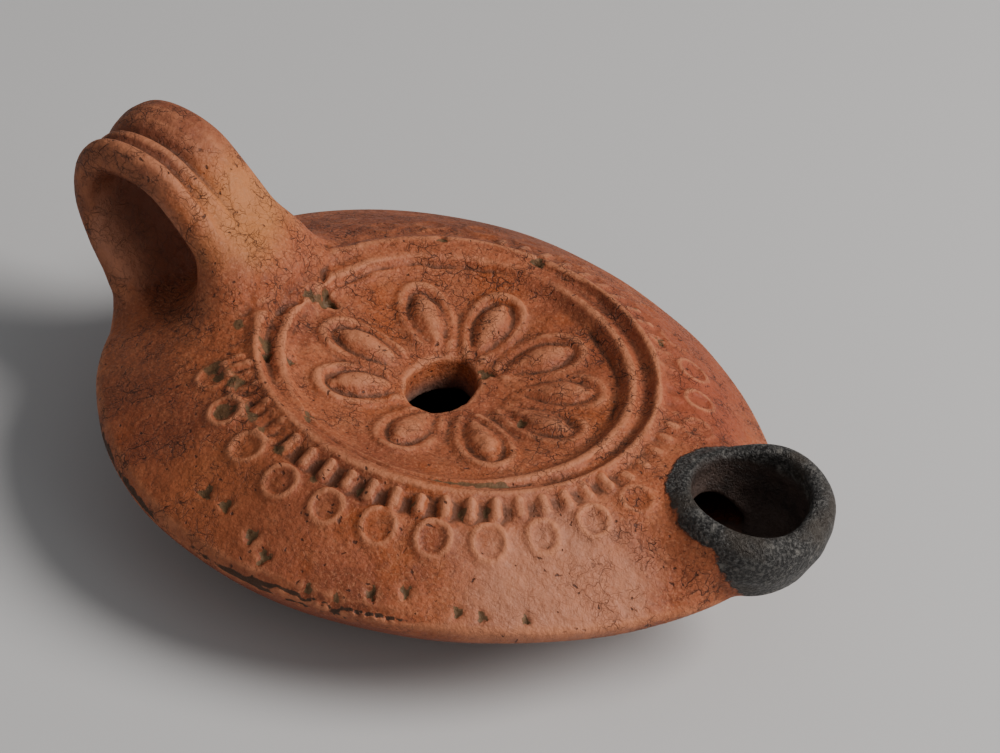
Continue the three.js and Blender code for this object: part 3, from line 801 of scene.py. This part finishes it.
def seatsAt(name, seats):
    # each seat: reach and angle from the discus centre, turn, stretch along and across, strength
    points = [onLamp(reach, angle) for reach, angle, *_ in seats]
    return looseLines(name, points, [], turn=[(0, 0, seat[2]) for seat in seats],
                      stretch=[(seat[3], seat[4], 1) for seat in seats], strength=[seat[5] for seat in seats])


def openLine(name, points, breadth=None):
    # a stamp: breadth says how wide and high the bead is at each point, as a share
    edges = [(i, i + 1) for i in range(len(points) - 1)]
    return looseLines(name, points, edges, breadth=breadth or [1] * len(points))


def press(piece, layout, seats, stamp, **sizes):
    # one pass of the tree; sizes are the inputs that differ from the ones below
    tree, sockets = layout
    step = piece.modifiers.new(seats.name, "NODES")
    step.node_group = tree
    values = {"Seats": seats, "Stamp": stamp, "Clay": clay, "Roundness": 1.2, "Wear": 0.3, "Seed": 1.0,
              "Lowest": 14.6 * mm, "Hole": (holeForm["x"] * mm, holeForm["y"] * mm, 0.0),
              "Clear": holeForm["clear"] * mm, **sizes}
    for name, value in values.items():
        step[sockets[name].identifier] = value


def pressAll(piece, plan=ornament):
    layout = pressedOrnament()
    rng = np.random.default_rng(11)

    # rosette: teardrop loops that touch, each round a plump leaf
    petalSeats = []
    for degrees, reach, strength in plan["petals"]:
        a = math.radians(degrees)
        petalSeats.append((reach, a, a + rng.uniform(-0.06, 0.06), 1 + rng.uniform(-0.03, 0.03),
                           1 + rng.uniform(-0.05, 0.05), strength))
    sweep = np.radians(np.linspace(-152, 152, 36))
    loop = openLine("petal_loop", [(plan["petalLength"] / 2 * math.cos(t), plan["petalWidth"] / 2 * math.sin(t)
                                    * (0.78 + 0.22 * math.cos(t))) for t in sweep])
    run = np.linspace(0, 1, 25)
    leaf = openLine("petal_leaf", [(plan["leafLength"] * (t - 0.5) + plan["leafInset"], 0) for t in run],
                    [0.42 + 0.58 * math.sin(math.pi * t ** 1.25) ** 0.8 for t in run])
    seats = seatsAt("petal_seats", petalSeats)
    press(piece, layout, seats, loop, Bead=plan["petalBead"] * mm, Rise=plan["petalRise"] * mm, Seed=2.0)
    press(piece, layout, seats, leaf, Bead=plan["leafBead"] * mm, Rise=plan["leafRise"] * mm, Roundness=0.9,
          Wear=0.12, Seed=3.0)

    # shoulder: a row of rings, each with a flat floor a little lower than the clay round it
    ringSeats = []
    for side in (-1, 1):
        for i in range(plan["rings"]):
            degrees = plan["ringFirst"] + plan["ringStep"] * i
            # the row bulges a little before it draws in towards the handle
            out = 0.4 * math.exp(-((degrees - 102) / 12) ** 2) - 0.4 * min(max((degrees - 125) / 15, 0), 1)
            # the far side is worn, and so are the ends of the row
            strength = 1.0 if side < 0 else (0.7 if degrees < 45 else 0.35)
            strength *= 0.7 if degrees < 16 or degrees > 130 else 1
            ringSeats.append((plan["ringReach"] + out + rng.uniform(-0.12, 0.12), math.radians(side * degrees),
                              rng.uniform(0, 6), 1 + rng.uniform(-0.05, 0.05), 1 + rng.uniform(-0.05, 0.05),
                              strength * rng.uniform(0.85, 1.05)))
    radius = plan["ringRadius"]
    ring = openLine("shoulder_ring", [(radius * math.cos(t), radius * math.sin(t))
                                      for t in np.radians(np.linspace(0, 360, 25))])
    floor = openLine("ring_floor", [(-0.05, 0), (0.05, 0)])
    seats = seatsAt("ring_seats", ringSeats)
    press(piece, layout, seats, ring, Bead=plan["ringBead"] * mm, Rise=plan["ringRise"] * mm, Seed=4.0)
    press(piece, layout, seats, floor, Bead=radius * mm, Rise=-plan["ringFloor"] * mm, Roundness=0.35, Seed=4.5)

    # short bars between the rings and the ridge
    barSeats = []
    for side in (-1, 1):
        for i in range(plan["bars"]):
            degrees = plan["barFirst"] + plan["barStep"] * i
            a = math.radians(side * degrees)
            # worn on the far side and towards the nozzle
            strength = 1.0 if side < 0 else 0.4
            strength *= 0.6 if degrees < 46 else 1
            barSeats.append((plan["barReach"] + rng.uniform(-0.12, 0.12), a, a + rng.uniform(-0.1, 0.1), 1, 1,
                             strength * rng.uniform(0.85, 1.1)))
    for degrees in plan["frontBars"]:
        barSeats.append((plan["barReach"] + 0.5, math.radians(degrees), math.radians(degrees), 0.8, 1, 0.35))
    half = plan["barLength"] / 2
    bar = openLine("shoulder_bar", [(-half, 0), (0, 0), (half, 0)])
    seats = seatsAt("bar_seats", barSeats)
    press(piece, layout, seats, bar, Bead=plan["barBead"] * mm, Rise=plan["barRise"] * mm, Roundness=0.8,
          Wear=0.1, Seed=5.0)

    # towards the handle the bars give way to curls, each round an egg
    curlSeats = []
    for i in range(plan["curls"]):
        a = math.radians(-plan["curlFirst"] - plan["curlStep"] * i)
        curlSeats.append((plan["curlReach"] + 0.1 * i, a, a + rng.uniform(-0.15, 0.15), 1, 1, rng.uniform(0.5, 0.8)))
    sweep = np.radians(np.linspace(-112, 112, 16))
    curl = openLine("shoulder_curl", [(1.75 * math.cos(t) - 0.4, 1.7 * math.sin(t)) for t in sweep])
    egg = openLine("shoulder_egg", [(-1.2, 0), (-0.2, 0)])
    seats = seatsAt("curl_seats", curlSeats)
    press(piece, layout, seats, curl, Bead=plan["curlBead"] * mm, Rise=plan["curlRise"] * mm, Seed=6.0)
    press(piece, layout, seats, egg, Bead=plan["eggBead"] * mm, Rise=plan["eggRise"] * mm, Roundness=0.8,
          Wear=0.15, Seed=7.0)

    # cracks follow the grooves
    for n, (radius, start, stop, breadth, depth) in enumerate(plan["cracks"]):
        span = np.radians(np.linspace(start, stop, 40))
        drift = wander(span, 20 + n, 0.3)
        crack = openLine("crack_line_%d" % n, [((radius + d) * math.cos(t), (radius + d) * math.sin(t))
                                               for t, d in zip(span, drift)])
        seats = seatsAt("crack_seat_%d" % n, [(0, 0, 0, 1, 1, 1)])
        press(piece, layout, seats, crack, Bead=breadth * mm, Rise=-depth * mm, Roundness=1.0, Wear=0.8, Seed=8.0 + n)
    # and one runs where the handle's foot was stuck on
    middle, along, across, start, stop, breadth, depth = plan["footCrack"]
    span = np.radians(np.linspace(start, stop, 40))
    foot = openLine("foot_crack", [(middle + (along + d) * math.cos(t), (across + d) * math.sin(t))
                                   for t, d in zip(span, wander(span, 31, 0.35))])
    seats = looseLines("foot_seat", [(0, 0)], [], turn=[(0, 0, 0)], stretch=[(1, 1, 1)], strength=[1])
    press(piece, layout, seats, foot, Bead=breadth * mm, Rise=-depth * mm, Roundness=1.0, Wear=0.75, Seed=30.0)
    madePlain(piece)
    for helper in helpers:
        bpy.data.objects.remove(helper)


# where soil is packed in: angle and reach from the discus centre, breadth
soilPatches = [
    (-66, 22.1, 0.8), (-62, 22.1, 1.0), (-58, 22.1, 1.1), (-54, 22.0, 1.1), (-50, 22.0, 1.1), (-46, 22.1, 0.9),
    (-149, 23.0, 1.1), (-113, 22.1, 0.8), (-138, 28.2, 1.3), (-126, 27.6, 1.3), (-116, 27.6, 1.1), (-108, 27.4, 1.0),
    (-96, 27.6, 0.8),
    (-142, 29.2, 1.7), (-127, 29.6, 1.5), (-134, 27.2, 1.6), (-121, 27.4, 1.3), (-156, 26.6, 1.2), (-150, 23.2, 1.2),
    (-58, 26.4, 0.7), (-52, 26.3, 0.7), (178, 20.2, 1.0), (63, 26.5, 0.7), (-84, 26.4, 0.6), (-70, 26.4, 0.6),
]


def markHollows(piece, rounds=14):
    # how far each point lies below its smoothed neighbourhood in millimetres, and the marks the material reads
    mesh = piece.data
    count = len(mesh.vertices)
    co = np.empty(count * 3)
    mesh.vertices.foreach_get("co", co)
    co = co.reshape(-1, 3) / mm
    normal = np.empty(count * 3)
    mesh.vertices.foreach_get("normal", normal)
    ends = np.empty(len(mesh.edges) * 2, np.int32)
    mesh.edges.foreach_get("vertices", ends)
    a, b = ends.reshape(-1, 2).T
    share = 1 / (np.bincount(a, minlength=count) + np.bincount(b, minlength=count))
    smooth = co.copy()
    for _ in range(rounds):
        for axis in range(3):
            line = smooth[:, axis]
            total = np.bincount(a, line[b], count) + np.bincount(b, line[a], count)
            smooth[:, axis] = 0.4 * line + 0.6 * total * share
    depth = ((smooth - co) * normal.reshape(-1, 3)).sum(1)
    x, y, z = co.T
    soil = np.zeros(count)
    for degrees, reach, breadth in soilPatches:
        cx, cy = onLamp(reach, math.radians(degrees))
        away = np.hypot(x - cx, y - cy) / breadth
        soil = np.maximum(soil, np.exp(-away ** 2) * (z > 15))
    # chips hold soil as well
    soil = np.maximum(soil, 0.95 * np.clip(chipDepth(x, y) / 0.4, 0, 1) * (z > 14))
    angle = np.arctan2(y, x - lampForm["discusX"])
    seam = seamGape(angle, topHeight(x, y)[1], 0.013) * (z > 12.4)
    # oil has soaked the chamber and the foot of the well
    oiled = np.clip((underTop(x, y, z) - 2.4) / 2.4, 0, 1)
    inWell = np.hypot(x - nozzleForm["x"], y) < np.interp(z, *zip(*nozzleForm["inside"])) + 0.6
    oiled = np.maximum(oiled, inWell * (z > 13.6) * np.clip((18.5 - z) / 2, 0, 1))
    for name, values in (("hollow", depth), ("soil", soil), ("seam", seam), ("oiled", oiled)):
        layer = mesh.attributes.new(name, "FLOAT", "POINT")
        layer.data.foreach_set("value", values.astype(np.float32))
    return depth


pressAll(lampPiece)
depth = markHollows(lampPiece)
print("hollows: %.2f to %.2f mm" % tuple(np.percentile(depth, (1, 99))))
lampPiece.data.polygons.foreach_set("use_smooth", [True] * len(lampPiece.data.polygons))
print("ornament pressed:", triangleCount(lampPiece), "triangles")

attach(lampPiece, "root")
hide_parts("lamp")


def paleFloor():
    material = bpy.data.materials.new("matt_studio_paper")
    material.use_nodes = True
    shader = material.node_tree.nodes["Principled BSDF"]
    shader.inputs["Base Color"].default_value = linear("#c4c4c4")
    shader.inputs["Roughness"].default_value = 0.95
    mesh = bpy.data.meshes.new("studio_floor")
    half = 3.0
    mesh.from_pydata([(-half, -half, 0), (half, -half, 0), (half, half, 0), (-half, half, 0)], [], [(0, 1, 2, 3)])
    floor = bpy.data.objects.new("studio_floor", mesh)
    floor.data.materials.append(material)
    bpy.context.scene.collection.objects.link(floor)


# degrees and millimetres, the target on the middle of the discus
viewpoint = {"azimuth": 23.236, "elevation": 38.411, "roll": 10.054, "distance": 352.88, "lens": 106.64,
             "aside": 5.242, "up": -1.605, "target": (5.5, 0.0, 23.2)}


def studioCamera(view=viewpoint):
    a, e, r = (math.radians(view[k]) for k in ("azimuth", "elevation", "roll"))
    back = Vector((math.sin(a) * math.cos(e), -math.cos(a) * math.cos(e), math.sin(e)))
    right = Vector((math.cos(a), math.sin(a), 0))
    up = Vector((-math.sin(a) * math.sin(e), math.cos(a) * math.sin(e), math.cos(e)))
    place = Vector(view["target"]) + right * view["aside"] + up * view["up"] + back * view["distance"]
    camX = right * math.cos(r) + up * math.sin(r)
    camY = up * math.cos(r) - right * math.sin(r)
    data = bpy.data.cameras.new("studio_camera")
    data.lens = view["lens"]
    data.sensor_width = 36
    data.clip_start = 0.01
    camera = bpy.data.objects.new("studio_camera", data)
    turn = Matrix((camX, camY, back)).transposed().to_4x4()
    camera.matrix_world = Matrix.Translation(place * mm) @ turn
    bpy.context.scene.collection.objects.link(camera)
    bpy.context.scene.camera = camera
    return right, up, back


# direction to the camera's right, towards the camera and up; distance and size in metres; watts; colour
lights = {
    "key_light": ((1.0, 0.02, 0.92), 0.78, 0.45, 7.4, "#fffaf6"),
    "fill_light": ((0.62, 0.5, 0.5), 0.62, 0.3, 0.25, "#fffaf6"),
    "bounce_light": ((-0.9, 0.8, 0.3), 0.6, 0.4, 0.4, "#fff4ea"),
}


def softLight(name, direction, distance, size, power, colour):
    data = bpy.data.lights.new(name, "AREA")
    data.shape = "DISK"
    data.size = size
    data.energy = power
    data.color = linear(colour)[:3]
    light = bpy.data.objects.new(name, data)
    away = direction.normalized()
    light.location = away * distance
    light.rotation_euler = away.to_track_quat("Z", "Y").to_euler()
    bpy.context.scene.collection.objects.link(light)


paleFloor()
right, up, back = studioCamera()
flatBack = Vector((back.x, back.y, 0)).normalized()
for name, ((aside, toward, high), *rest) in lights.items():
    softLight(name, right * aside + flatBack * toward + Vector((0, 0, high)), *rest)
world = bpy.data.worlds.new("studio_air")
world.use_nodes = True
world.node_tree.nodes["Background"].inputs["Color"].default_value = linear("#c8ccd0")
world.node_tree.nodes["Background"].inputs["Strength"].default_value = 0.33
bpy.context.scene.world = world
print("studio: floor, camera,", len(lights), "lights and an even sky")
